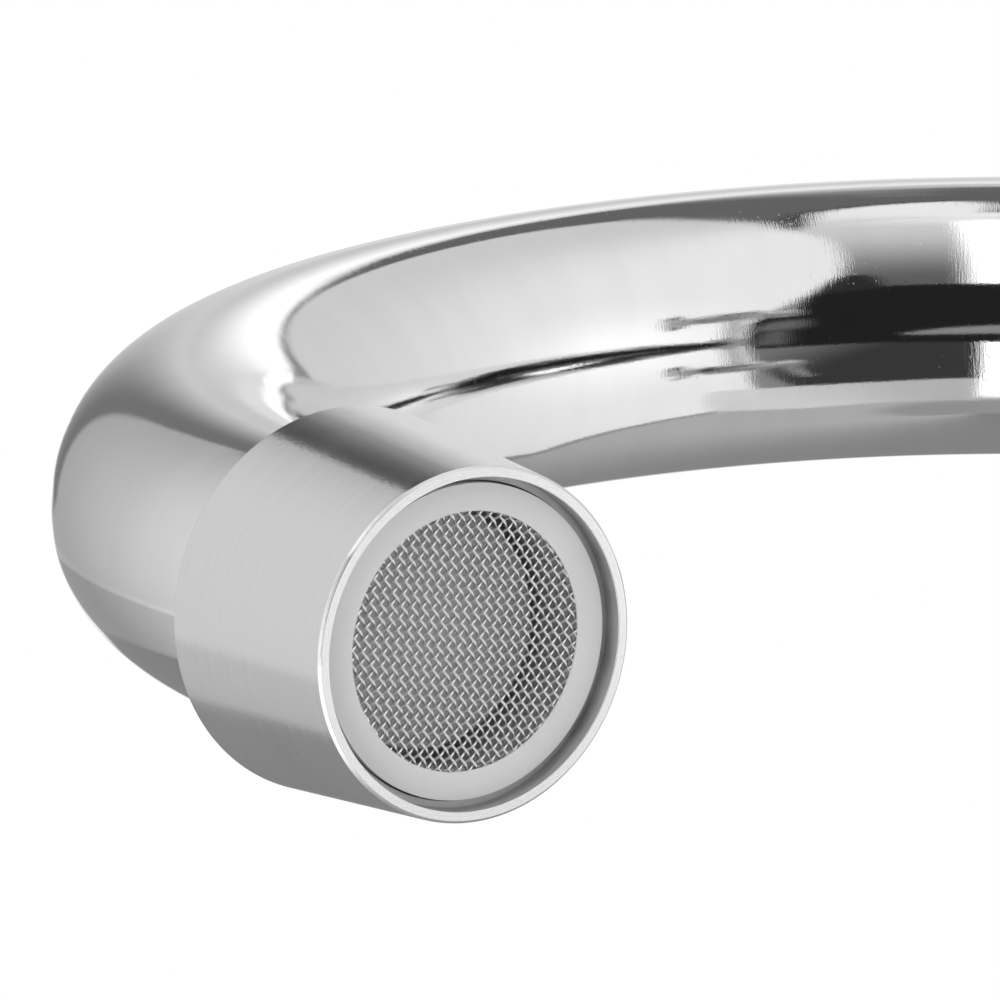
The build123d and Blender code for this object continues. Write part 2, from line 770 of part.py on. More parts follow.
save(
    make_screen(jet_plate_top_z, screen_radius, inlet_screen_pitch, inlet_screen_opening),
    "aerator_inlet_screen",
)
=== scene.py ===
"""Looks of a wall-mounted bridge faucet with a gooseneck spout.

Metres, in the model's own frame: origin on the wall midway between the supplies, X right, Y into the wall,
Z up. The camera looks up at the spout's outlet, so the picture's up is close to the model's +X.
"""

from math import cos, hypot, pi, radians, sin, sqrt

import bpy
from mathutils import Matrix, Vector


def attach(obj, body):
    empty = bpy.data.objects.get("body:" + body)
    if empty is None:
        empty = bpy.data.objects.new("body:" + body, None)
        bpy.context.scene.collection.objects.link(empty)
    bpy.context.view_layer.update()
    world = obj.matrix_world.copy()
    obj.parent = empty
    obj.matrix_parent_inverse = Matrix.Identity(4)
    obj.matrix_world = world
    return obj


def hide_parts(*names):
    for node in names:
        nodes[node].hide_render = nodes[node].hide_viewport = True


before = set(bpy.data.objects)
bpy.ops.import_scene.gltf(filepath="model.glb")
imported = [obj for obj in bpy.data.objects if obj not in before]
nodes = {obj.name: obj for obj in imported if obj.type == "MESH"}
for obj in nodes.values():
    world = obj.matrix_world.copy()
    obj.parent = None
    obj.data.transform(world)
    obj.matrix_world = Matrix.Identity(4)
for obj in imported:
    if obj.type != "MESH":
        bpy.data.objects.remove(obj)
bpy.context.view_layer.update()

# ---------------------------------------------------------------- sizes, in metres
MM = 0.001
RISER_Y = -63.5 * MM
TUBE_LOW_Z = 38.05 * MM
BEND_Z = 230 * MM
BEND_RADIUS = 58.5 * MM
TUBE_RADIUS = 11 * MM
TUBE_BORE = 10 * MM
OUTLET_Y = RISER_Y - 2 * BEND_RADIUS
TUBE_END_Z = 220 * MM

RIM_Z = 206.6 * MM
RIM_STEP_Z = 208.3 * MM
RIM_BORE_RADIUS = 12.25 * MM
WEB_Z = 218.8 * MM
COLLAR_BACK_Z = 225 * MM
COLLAR_FRONT_RADIUS = 13.1 * MM
COLLAR_BACK_RADIUS = 14.3 * MM
COLLAR_EDGE = 0.22 * MM
COLLAR_ARC = 0.05 * MM
COLLAR_THREAD_RADIUS = 11.72 * MM
COLLAR_WEB_BORE = 8.6 * MM
TUBE_SOCKET_RADIUS = 11.05 * MM

SCREEN_Z = 208.2 * MM
SCREEN_RADIUS = 9.72 * MM
SCREEN_TURN = radians(32.7)
WIRE_PITCH = 0.628 * MM
WIRE_RADIUS = 0.106 * MM
WIRE_WAVE = 0.100 * MM
# the well behind the screen: within this radius and above these heights the aerator's plastics are painted a
# darker grey, as painted shade
WELL_RADIUS = 10.5 * MM
WELL_Z = 208.45 * MM
PLATE_WELL_Z = 213.3 * MM

FLOOR_Z = -0.12
FLOOR_RADII = (0.3, 0.8, 1.6)
FLOOR_FADE = (0.35, 1.5)

# ---------------------------------------------------------------- camera
CAMERA_PLACE = Vector((0.2342, -0.6983, -0.6327))
CAMERA_RIGHT = Vector((-0.0217, 0.8471, -0.5308)).normalized()
CAMERA_BACK = Vector((0.2211, -0.5137, -0.8290)).normalized()
CAMERA_UP = CAMERA_BACK.cross(CAMERA_RIGHT).normalized()
SENSOR = 36.0
LENS = 508.54


def add_camera():
    """The photograph's viewpoint: from below the outlet, with a long lens."""
    data = bpy.data.cameras.new("camera")
    data.sensor_width = SENSOR
    data.lens = LENS
    data.clip_start = 0.05
    data.clip_end = 50
    camera = bpy.data.objects.new("camera", data)
    bpy.context.scene.collection.objects.link(camera)
    axes = Matrix((CAMERA_RIGHT, CAMERA_UP, CAMERA_RIGHT.cross(CAMERA_UP))).transposed()
    camera.matrix_world = Matrix.Translation(CAMERA_PLACE) @ axes.to_4x4()
    bpy.context.scene.camera = camera


# ---------------------------------------------------------------- shader helpers
def node(tree, kind, inputs=None, **settings):
    """A shader node with its settings and inputs; an input is a plain value or another node's output."""
    made = tree.nodes.new("ShaderNode" + kind)
    for key, value in settings.items():
        setattr(made, key, value)
    for key, value in (inputs or {}).items():
        if isinstance(value, bpy.types.NodeSocket):
            tree.links.new(value, made.inputs[key])
        else:
            made.inputs[key].default_value = value
    return made


def calc(tree, operation, *values):
    return node(tree, "Math", dict(enumerate(values)), operation=operation).outputs[0]


def dot(tree, vector, axis):
    inputs = {0: vector, 1: axis}
    return node(tree, "VectorMath", inputs, operation="DOT_PRODUCT").outputs["Value"]


def spread(tree, value, low, high, to_low=0.0, to_high=1.0, smooth=False):
    """value mapped from low..high to to_low..to_high, and held there outside."""
    made = node(tree, "MapRange", {0: value, 1: low, 2: high, 3: to_low, 4: to_high})
    made.interpolation_type = "SMOOTHSTEP" if smooth else "LINEAR"
    return made.outputs[0]


def noise(tree, vector, scale, detail=2.0, rough=0.5):
    inputs = {"Vector": vector, "Scale": scale, "Detail": detail, "Roughness": rough}
    return node(tree, "TexNoise", inputs).outputs[0]


def stretched(tree, vector, scale, turn=(0, 0, 0)):
    """The coordinates scaled along each axis."""
    return node(tree, "Mapping", {"Vector": vector, "Scale": scale, "Rotation": turn}).outputs[0]


def bump(tree, height, distance, normal=None):
    inputs = {"Height": height, "Distance": distance, "Strength": 1.0}
    if normal is not None:
        inputs["Normal"] = normal
    return node(tree, "Bump", inputs).outputs[0]


def blend(tree, share, first, second):
    """A colour that goes from first to second as share goes from 0 to 1."""
    made = node(tree, "Mix", data_type="RGBA")
    for label, kind, value in (("Factor", "VALUE", share), ("A", "RGBA", first), ("B", "RGBA", second)):
        socket = [found for found in made.inputs if found.name == label and found.type == kind][0]
        if isinstance(value, bpy.types.NodeSocket):
            tree.links.new(value, socket)
        else:
            socket.default_value = value
    return [found for found in made.outputs if found.type == "RGBA"][0]


def grey(level):
    return (level, level, level, 1.0)


def new_material(name, **sockets):
    """A material with one Principled shader, and its constant sockets set on the shader itself."""
    made = bpy.data.materials.new(name)
    made.use_nodes = True
    tree = made.node_tree
    shader = tree.nodes["Principled BSDF"]
    for key, value in sockets.items():
        shader.inputs[key.replace("_", " ")].default_value = value
    return made, tree, shader


def wire_up(tree, shader, **sockets):
    """Outputs of nodes, linked to the shader's sockets."""
    for key, value in sockets.items():
        tree.links.new(value, shader.inputs[key.replace("_", " ")])


def object_place(tree):
    return node(tree, "TexCoord").outputs["Object"]


def run_place(tree):
    """(length along the piece, length round it), in metres, on the meshes made here."""
    return node(tree, "UVMap", uv_map="run").outputs[0]


# ---------------------------------------------------------------- materials
# Scales of noise are per metre, and the height of a bump is in metres.
def chrome_tube():
    """Polished chrome plate on drawn tube, with fine buffing marks that run round the section."""
    made, tree, shader = new_material("chrome_tube", Metallic=1.0)
    place = run_place(tree)
    marks = noise(tree, stretched(tree, place, (5200, 420, 1)), 1.0, 3.0, 0.6)
    patches = noise(tree, stretched(tree, place, (260, 90, 1)), 1.0)
    strength = spread(tree, patches, 0.35, 0.7, 0.25, 1.0)
    swell = noise(tree, stretched(tree, place, (110, 110, 1)), 1.0, 1.0)
    pits = noise(tree, stretched(tree, place, (2600, 2600, 1)), 1.0, 1.0)
    grain = noise(tree, stretched(tree, place, (7000, 7000, 1)), 1.0, 1.0)
    normal = bump(tree, calc(tree, "MULTIPLY", marks, strength), 0.0000035)
    normal = bump(tree, swell, 0.00002, normal)
    normal = bump(tree, spread(tree, pits, 0.72, 0.8), 0.000003, normal)
    normal = bump(tree, grain, 0.000002, normal)
    colour = blend(tree, spread(tree, patches, 0.3, 0.7), (0.80, 0.80, 0.803, 1), (0.83, 0.83, 0.832, 1))
    wire_up(tree, shader, Normal=normal, Roughness=spread(tree, marks, 0.3, 0.8, 0.03, 0.085),
            Base_Color=colour)
    return made


def chrome_cast():
    """Polished chrome plate on castings, nuts, levers and flanges: faint orange peel, hazier in corners."""
    made, tree, shader = new_material("chrome", Metallic=1.0)
    place = object_place(tree)
    peel = noise(tree, place, 420.0)
    haze = noise(tree, place, 38.0, 4.0, 0.6)
    lines = noise(tree, stretched(tree, place, (300, 5200, 5200), (0.3, 0.2, 0.5)), 1.0)
    normal = bump(tree, lines, 0.0000012, bump(tree, peel, 0.000012))
    edges = node(tree, "NewGeometry").outputs["Pointiness"]
    wear_and_painted_light = calc(tree, "MULTIPLY", spread(tree, edges, 0.52, 0.60), spread(tree, haze, 0.45, 0.65))
    rough = calc(tree, "ADD", spread(tree, haze, 0.35, 0.75, 0.045, 0.10), calc(tree, "MULTIPLY", wear_and_painted_light, 0.10))
    colour = blend(tree, wear_and_painted_light, (0.80, 0.80, 0.805, 1), (0.72, 0.715, 0.70, 1))
    wire_up(tree, shader, Normal=normal, Roughness=rough, Base_Color=colour)
    return made


def turned_steel():
    """Stainless steel off the lathe: fine grooves round the axis spread the reflections along it."""
    made, tree, shader = new_material("turned_steel", Metallic=1.0, Anisotropic=1.0)
    place = run_place(tree)
    grooves = noise(tree, stretched(tree, place, (16000, 60, 1)), 1.0, 2.0, 0.7)
    marks = noise(tree, stretched(tree, place, (5200, 110, 1)), 1.0)
    cloud = noise(tree, stretched(tree, place, (90, 40, 1)), 1.0)
    flecks = noise(tree, stretched(tree, place, (6000, 2200, 1)), 1.0, 2.0, 0.6)
    lines = calc(tree, "ADD", calc(tree, "MULTIPLY", grooves, 0.6), calc(tree, "MULTIPLY", marks, 0.4))
    tangent = node(tree, "Tangent", direction_type="UV_MAP", uv_map="run").outputs[0]
    rough = calc(tree, "ADD", spread(tree, cloud, 0.3, 0.7, 0.175, 0.205),
                 spread(tree, marks, 0.3, 0.8, 0.0, 0.04))
    colour = blend(tree, lines, (0.70, 0.70, 0.705, 1), grey(0.86))
    wire_up(tree, shader, Normal=bump(tree, flecks, 0.000011, bump(tree, lines, 0.0000022)),
            Tangent=tangent, Roughness=rough, Base_Color=colour)
    return made


def faced_steel():
    """The collar's rim, faced bright with one last cut."""
    made, tree, shader = new_material("faced_steel", Metallic=1.0)
    lines = noise(tree, stretched(tree, run_place(tree), (9000, 90, 1)), 1.0)
    wire_up(tree, shader, Roughness=spread(tree, lines, 0.3, 0.7, 0.22, 0.30),
            Base_Color=blend(tree, lines, grey(0.95), grey(0.99)), Normal=bump(tree, lines, 0.000002))
    return made


def bored_steel():
    """The collar's bore: rough from the boring tool, and a darker grey than the outside, in mottled patches.
    """
    made, tree, shader = new_material("bored_steel", Metallic=1.0)
    place = run_place(tree)
    lines = noise(tree, stretched(tree, place, (6000, 60, 1)), 1.0)
    mottle = noise(tree, stretched(tree, place, (700, 400, 1)), 1.0, 3.0)
    colour = blend(tree, mottle, grey(0.48), (0.62, 0.62, 0.615, 1))
    wire_up(tree, shader, Roughness=spread(tree, mottle, 0.3, 0.7, 0.42, 0.60), Base_Color=colour,
            Normal=bump(tree, lines, 0.00001))
    return made


def stainless_wire():
    """Drawn stainless wire of the screens, bright where it faces out of the outlet and where it faces into
    the well, and painted dark on its flanks: painted shade for the shade between the wires.
    """
    made, tree, shader = new_material("stainless_wire", Metallic=1.0)
    drawn = noise(tree, object_place(tree), 2500.0)
    facing = node(tree, "SeparateXYZ", {0: node(tree, "TexCoord").outputs["Normal"]}).outputs["Z"]
    # painted shade: where the normal lies flat, on the wires' flanks, the colour goes dark to stand for the
    # shade between the wires
    wear_and_painted_light = calc(tree, "MAXIMUM", spread(tree, facing, -0.30, -0.80, smooth=True),
                spread(tree, facing, -0.1, 0.25))
    wire_up(tree, shader, Roughness=spread(tree, drawn, 0.3, 0.7, 0.10, 0.20),
            Base_Color=blend(tree, wear_and_painted_light, grey(0.16), (0.97, 0.97, 0.965, 1)),
            Normal=bump(tree, drawn, 0.000002))
    return made


def stainless():
    """Machined stainless of the small screws and screens."""
    made, tree, shader = new_material("stainless", Metallic=1.0)
    lines = noise(tree, stretched(tree, object_place(tree), (900, 7000, 900)), 1.0, 3.0)
    colour = blend(tree, lines, (0.62, 0.615, 0.61, 1), (0.74, 0.735, 0.73, 1))
    wire_up(tree, shader, Roughness=spread(tree, lines, 0.3, 0.7, 0.22, 0.36), Base_Color=colour,
            Normal=bump(tree, lines, 0.000005))
    return made


def plastic(name, dark, light, translucent, painted_shade_z=None):
    """Moulded acetal: satin, slightly translucent, with a fine spark-eroded grain.

    Above the given height, within the outlet's bore, it is painted a darker grey: painted shade for the well
    behind the screen.
    """
    made, tree, shader = new_material(
        name, Subsurface_Weight=translucent, Subsurface_Scale=0.0012, Subsurface_Radius=(1.0, 1.0, 1.0),
        IOR=1.48)
    place = object_place(tree)
    grain = noise(tree, place, 5200.0)
    flow = noise(tree, place, 130.0, 3.0)
    colour = blend(tree, spread(tree, flow, 0.3, 0.7), grey(dark), grey(light))
    if painted_shade_z:
        apart = node(tree, "VectorMath", {0: place, 1: (0, OUTLET_Y, 0)}, operation="SUBTRACT").outputs[0]
        flat = node(tree, "VectorMath", {0: apart, 1: (1, 1, 0)}, operation="MULTIPLY").outputs[0]
        radius = node(tree, "VectorMath", {0: flat}, operation="LENGTH").outputs["Value"]
        height = node(tree, "SeparateXYZ", {0: place}).outputs["Z"]
        # painted shade: inside the well, above the given height, the plastic is painted grey 0.70
        inside = calc(tree, "MULTIPLY", calc(tree, "LESS_THAN", radius, WELL_RADIUS),
                      calc(tree, "GREATER_THAN", height, painted_shade_z))
        colour = blend(tree, inside, colour, grey(0.70))
    wire_up(tree, shader, Roughness=spread(tree, grain, 0.3, 0.7, 0.37, 0.49), Base_Color=colour,
            Normal=bump(tree, grain, 0.000006))
    return made


def brass():
    """Machined brass of the valve's insides and the swivel spigot."""
    made, tree, shader = new_material("brass", Metallic=1.0)
    place = object_place(tree)
    lines = noise(tree, stretched(tree, place, (600, 6000, 6000)), 1.0, 3.0)
    stain = noise(tree, place, 120.0, 4.0)
    colour = blend(tree, stain, (0.66, 0.47, 0.20, 1), (0.80, 0.60, 0.30, 1))
    wire_up(tree, shader, Roughness=spread(tree, lines, 0.3, 0.7, 0.24, 0.38), Base_Color=colour,
            Normal=bump(tree, lines, 0.000006))
    return made


def ceramic():
    """Lapped alumina of the valve discs."""
    made, tree, shader = new_material("ceramic", IOR=1.7)
    speck = noise(tree, object_place(tree), 3000.0)
    colour = blend(tree, speck, (0.80, 0.79, 0.76, 1), (0.88, 0.87, 0.84, 1))
    wire_up(tree, shader, Roughness=spread(tree, speck, 0.3, 0.7, 0.10, 0.22), Base_Color=colour,
            Normal=bump(tree, speck, 0.000002))
    return made


def rubber():
    """Black moulded rubber of the seals and washers, with talc in the hollows."""
    made, tree, shader = new_material("black_rubber", IOR=1.5)
    place = object_place(tree)
    grain = noise(tree, place, 2600.0, 3.0)
    talc = spread(tree, noise(tree, place, 260.0, 4.0), 0.45, 0.75)
    colour = blend(tree, talc, (0.012, 0.012, 0.013, 1), (0.045, 0.045, 0.047, 1))
    wire_up(tree, shader, Roughness=spread(tree, grain, 0.3, 0.7, 0.50, 0.70), Base_Color=colour,
            Normal=bump(tree, grain, 0.00002))
    return made


def enamel(name, deep, bright):
    """Glossy moulded index button: coloured all through, with a soft sink mark and fine handling marks."""
    made, tree, shader = new_material(name, IOR=1.46, Coat_Weight=0.1, Coat_Roughness=0.1)
    place = object_place(tree)
    flow = noise(tree, place, 210.0, 3.0)
    marks = noise(tree, stretched(tree, place, (4000, 4000, 900), (0.4, 0.9, 0.2)), 1.0)
    wire_up(tree, shader, Roughness=spread(tree, marks, 0.4, 0.8, 0.16, 0.34),
            Base_Color=blend(tree, spread(tree, flow, 0.3, 0.7), deep, bright),
            Normal=bump(tree, flow, 0.00002))
    return made


# ---------------------------------------------------------------- mesh helpers
def mesh_piece(name, points, faces, coordinates, material, sharp_angle=35.0):
    """A smooth mesh with a 'run' map, sharp where its faces meet at more than sharp_angle."""
    data = bpy.data.meshes.new(name)
    data.from_pydata(points, [], faces)
    data.materials.append(material)
    layer = data.uv_layers.new(name="run")
    flat = [value for face in coordinates for pair in face for value in pair]
    layer.data.foreach_set("uv", flat)
    data.shade_smooth()
    data.set_sharp_from_angle(angle=radians(sharp_angle))
    data.update()
    made = bpy.data.objects.new(name, data)
    bpy.context.scene.collection.objects.link(made)
    return made


def ring_faces(rings, count, lengths, girths):
    """Quads between neighbouring rings of count points, and between the last ring and the first."""
    faces, coordinates = [], []
    for low in range(rings):
        high = (low + 1) % rings
        near, far = lengths[low], lengths[low + 1]
        for step in range(count):
            after = (step + 1) % count
            faces.append((low * count + step, low * count + after, high * count + after, high * count + step))
            coordinates.append((
                (near, girths[low] * step / count), (near, girths[low] * (step + 1) / count),
                (far, girths[low + 1] * (step + 1) / count), (far, girths[low + 1] * step / count)))
    return faces, coordinates


def lathe(name, outline, axis_y, material, count=192):
    """A ring turned from a closed outline of (radius, z), about the upright line through (0, axis_y)."""
    points = [
        (radius * sin(2 * pi * step / count), axis_y - radius * cos(2 * pi * step / count), z)
        for radius, z in outline for step in range(count)]
    lengths = [0.0]
    for (radius, z), (next_radius, next_z) in zip(outline, outline[1:] + outline[:1]):
        lengths.append(lengths[-1] + hypot(next_radius - radius, next_z - z))
    girths = [2 * pi * radius for radius, _ in outline] + [2 * pi * outline[0][0]]
    faces, coordinates = ring_faces(len(outline), count, lengths, girths)
    return mesh_piece(name, points, faces, coordinates, material)


def rounded(outline, radii, steps=4):
    """The outline with each corner that has a radius cut to a small arc."""
    made = []
    for index, (corner, radius) in enumerate(zip(outline, radii)):
        here = Vector(corner)
        if not radius:
            made.append(tuple(here))
            continue
        back = (Vector(outline[index - 1]) - here).normalized()
        ahead = (Vector(outline[(index + 1) % len(outline)]) - here).normalized()
        half = back.angle(ahead) / 2
        inward = (back + ahead).normalized()
        middle = here + inward * radius / sin(half)
        turn = pi / 2 - half
        side = Vector((-inward.y, inward.x))
        side = side if side.dot(back) > 0 else -side
        for step in range(steps + 1):
            angle = turn * (1 - 2 * step / steps)
            made.append(tuple(middle + (side * sin(angle) - inward * cos(angle)) * radius))
    return made


# ---------------------------------------------------------------- the spout's pieces
def tube_stations(spacing):
    """(y, z, direction of travel) along the tube's centreline, from the swivel to the outlet."""
    riser = BEND_Z - TUBE_LOW_Z
    steps = max(1, round(riser / spacing))
    made = [(RISER_Y, TUBE_LOW_Z + riser * step / steps, 0.0) for step in range(steps)]
    steps = max(8, round(pi * BEND_RADIUS / spacing))
    for step in range(steps + 1):
        turn = pi * step / steps
        made.append((RISER_Y - BEND_RADIUS + BEND_RADIUS * cos(turn), BEND_Z + BEND_RADIUS * sin(turn), turn))
    drop = BEND_Z - TUBE_END_Z
    steps = max(1, round(drop / spacing))
    made += [(OUTLET_Y, BEND_Z - drop * step / steps, pi) for step in range(1, steps + 1)]
    return made


def tube_skin(material, count=128, spacing=0.001, inner_spacing=0.006):
    """The gooseneck as one closed pipe: its outside, then its bore back to the start."""
    rings = [(station, TUBE_RADIUS) for station in tube_stations(spacing)]
    rings += [(station, TUBE_BORE) for station in reversed(tube_stations(inner_spacing))]
    points, lengths = [], [0.0]
    for (y, z, turn), radius in rings:
        for step in range(count):
            angle = 2 * pi * step / count
            out = radius * cos(angle)
            points.append((-radius * sin(angle), y + out * cos(turn), z + out * sin(turn)))
    for (first, first_radius), (second, second_radius) in zip(rings, rings[1:] + rings[:1]):
        lengths.append(lengths[-1] + sqrt(
            (first[0] - second[0]) ** 2 + (first[1] - second[1]) ** 2 + (first_radius - second_radius) ** 2))
    girths = [2 * pi * radius for _, radius in rings] + [2 * pi * TUBE_RADIUS]
    faces, coordinates = ring_faces(len(rings), count, lengths, girths)
    return mesh_piece("gooseneck", points, faces, coordinates, material)


def collar_skin(turned, faced, bored):
    """The tapered collar with its small broken edges, bright flat rim and dull stepped bore.

    Rings close beside the edges keep the cone and the rim true.
    """
    beside = 0.09 * MM
    near_end = 0.01
    front = (COLLAR_FRONT_RADIUS, RIM_Z + COLLAR_EDGE)
    back = (COLLAR_BACK_RADIUS, COLLAR_BACK_Z - COLLAR_EDGE)
    taper = (back[0] - front[0], back[1] - front[1])
    corners = (
        ((RIM_BORE_RADIUS, RIM_Z), COLLAR_ARC),
        ((RIM_BORE_RADIUS + beside, RIM_Z), 0),
        ((COLLAR_FRONT_RADIUS - COLLAR_EDGE - beside, RIM_Z), 0),
        ((COLLAR_FRONT_RADIUS - COLLAR_EDGE, RIM_Z), COLLAR_ARC),
        (front, COLLAR_ARC),
        ((front[0] + taper[0] * near_end, front[1] + taper[1] * near_end), 0),
        ((back[0] - taper[0] * near_end, back[1] - taper[1] * near_end), 0),
        (back, COLLAR_ARC),
        ((COLLAR_BACK_RADIUS - COLLAR_EDGE, COLLAR_BACK_Z), COLLAR_ARC),
        ((TUBE_SOCKET_RADIUS, COLLAR_BACK_Z), COLLAR_ARC),
        ((TUBE_SOCKET_RADIUS, TUBE_END_Z), 0),
        ((COLLAR_WEB_BORE, TUBE_END_Z), 0),
        ((COLLAR_WEB_BORE, WEB_Z), 0),
        ((COLLAR_THREAD_RADIUS, WEB_Z), 0),
        ((COLLAR_THREAD_RADIUS, RIM_STEP_Z), COLLAR_ARC),
        ((RIM_BORE_RADIUS, RIM_STEP_Z), 0),
    )
    outline = rounded([corner for corner, _ in corners], [radius for _, radius in corners])
    made = lathe("collar", outline, OUTLET_Y, turned)
    made.data.materials.append(faced)
    made.data.materials.append(bored)
    for face in made.data.polygons:
        radius = hypot(face.center.x, face.center.y - OUTLET_Y)
        if face.center.z < RIM_Z + COLLAR_ARC:
            face.material_index = 1
        elif radius < RIM_BORE_RADIUS + COLLAR_ARC:
            face.material_index = 2
    return made


def woven_screen(material, sides=7, steps=5):
    """Plain-woven wire cloth: each wire passes over and under its neighbours, up to the ring's groove."""
    points, faces = [], []
    last = int(SCREEN_RADIUS / WIRE_PITCH)
    ways = [Vector((sin(SCREEN_TURN + turn), cos(SCREEN_TURN + turn), 0)) for turn in (0, pi / 2)]
    for way, (along, across) in enumerate((ways, ways[::-1])):
        for wire in range(-last, last + 1):
            offset = wire * WIRE_PITCH
            reach = sqrt(SCREEN_RADIUS ** 2 - offset ** 2)
            count = max(2, round(2 * reach / WIRE_PITCH * steps))
            phase = pi * (wire + way)
            base = len(points)
            for ring in range(count + 1):
                run = -reach + 2 * reach * ring / count
                lift = WIRE_WAVE * cos(pi * run / WIRE_PITCH + phase)
                slope = -WIRE_WAVE * pi / WIRE_PITCH * sin(pi * run / WIRE_PITCH + phase)
                up = (Vector((0, 0, 1)) - along * slope).normalized()
                centre = Vector((0, OUTLET_Y, SCREEN_Z + lift)) + along * run + across * offset
                for side in range(sides):
                    angle = 2 * pi * side / sides
                    points.append(centre + (across * cos(angle) + up * sin(angle)) * WIRE_RADIUS)
            for ring in range(count):
                for side in range(sides):
                    after = (side + 1) % sides
                    low, high = base + ring * sides, base + (ring + 1) * sides
                    faces.append((low + side, low + after, high + after, high + side))
            faces += [tuple(range(start, start + sides)) for start in (base, base + count * sides)]
    coordinates = [((0, 0),) * len(face) for face in faces]
    return mesh_piece("woven_screen", points, faces, coordinates, material, sharp_angle=70)


# ---------------------------------------------------------------- studio
# The studio is drawn by direction, fixed in the model's frame, as (azimuth, elevation) in degrees. Azimuth 0
# is back to the photograph's viewpoint and 90 is the picture's right. It starts at SEAM, which nothing seen
# in the picture reflects. The model's front looks to about (-59, -8), its top to (213, 10) and its outlet to
# (33, -10).
SEAM = -98.0
AMBIENT = 0.95

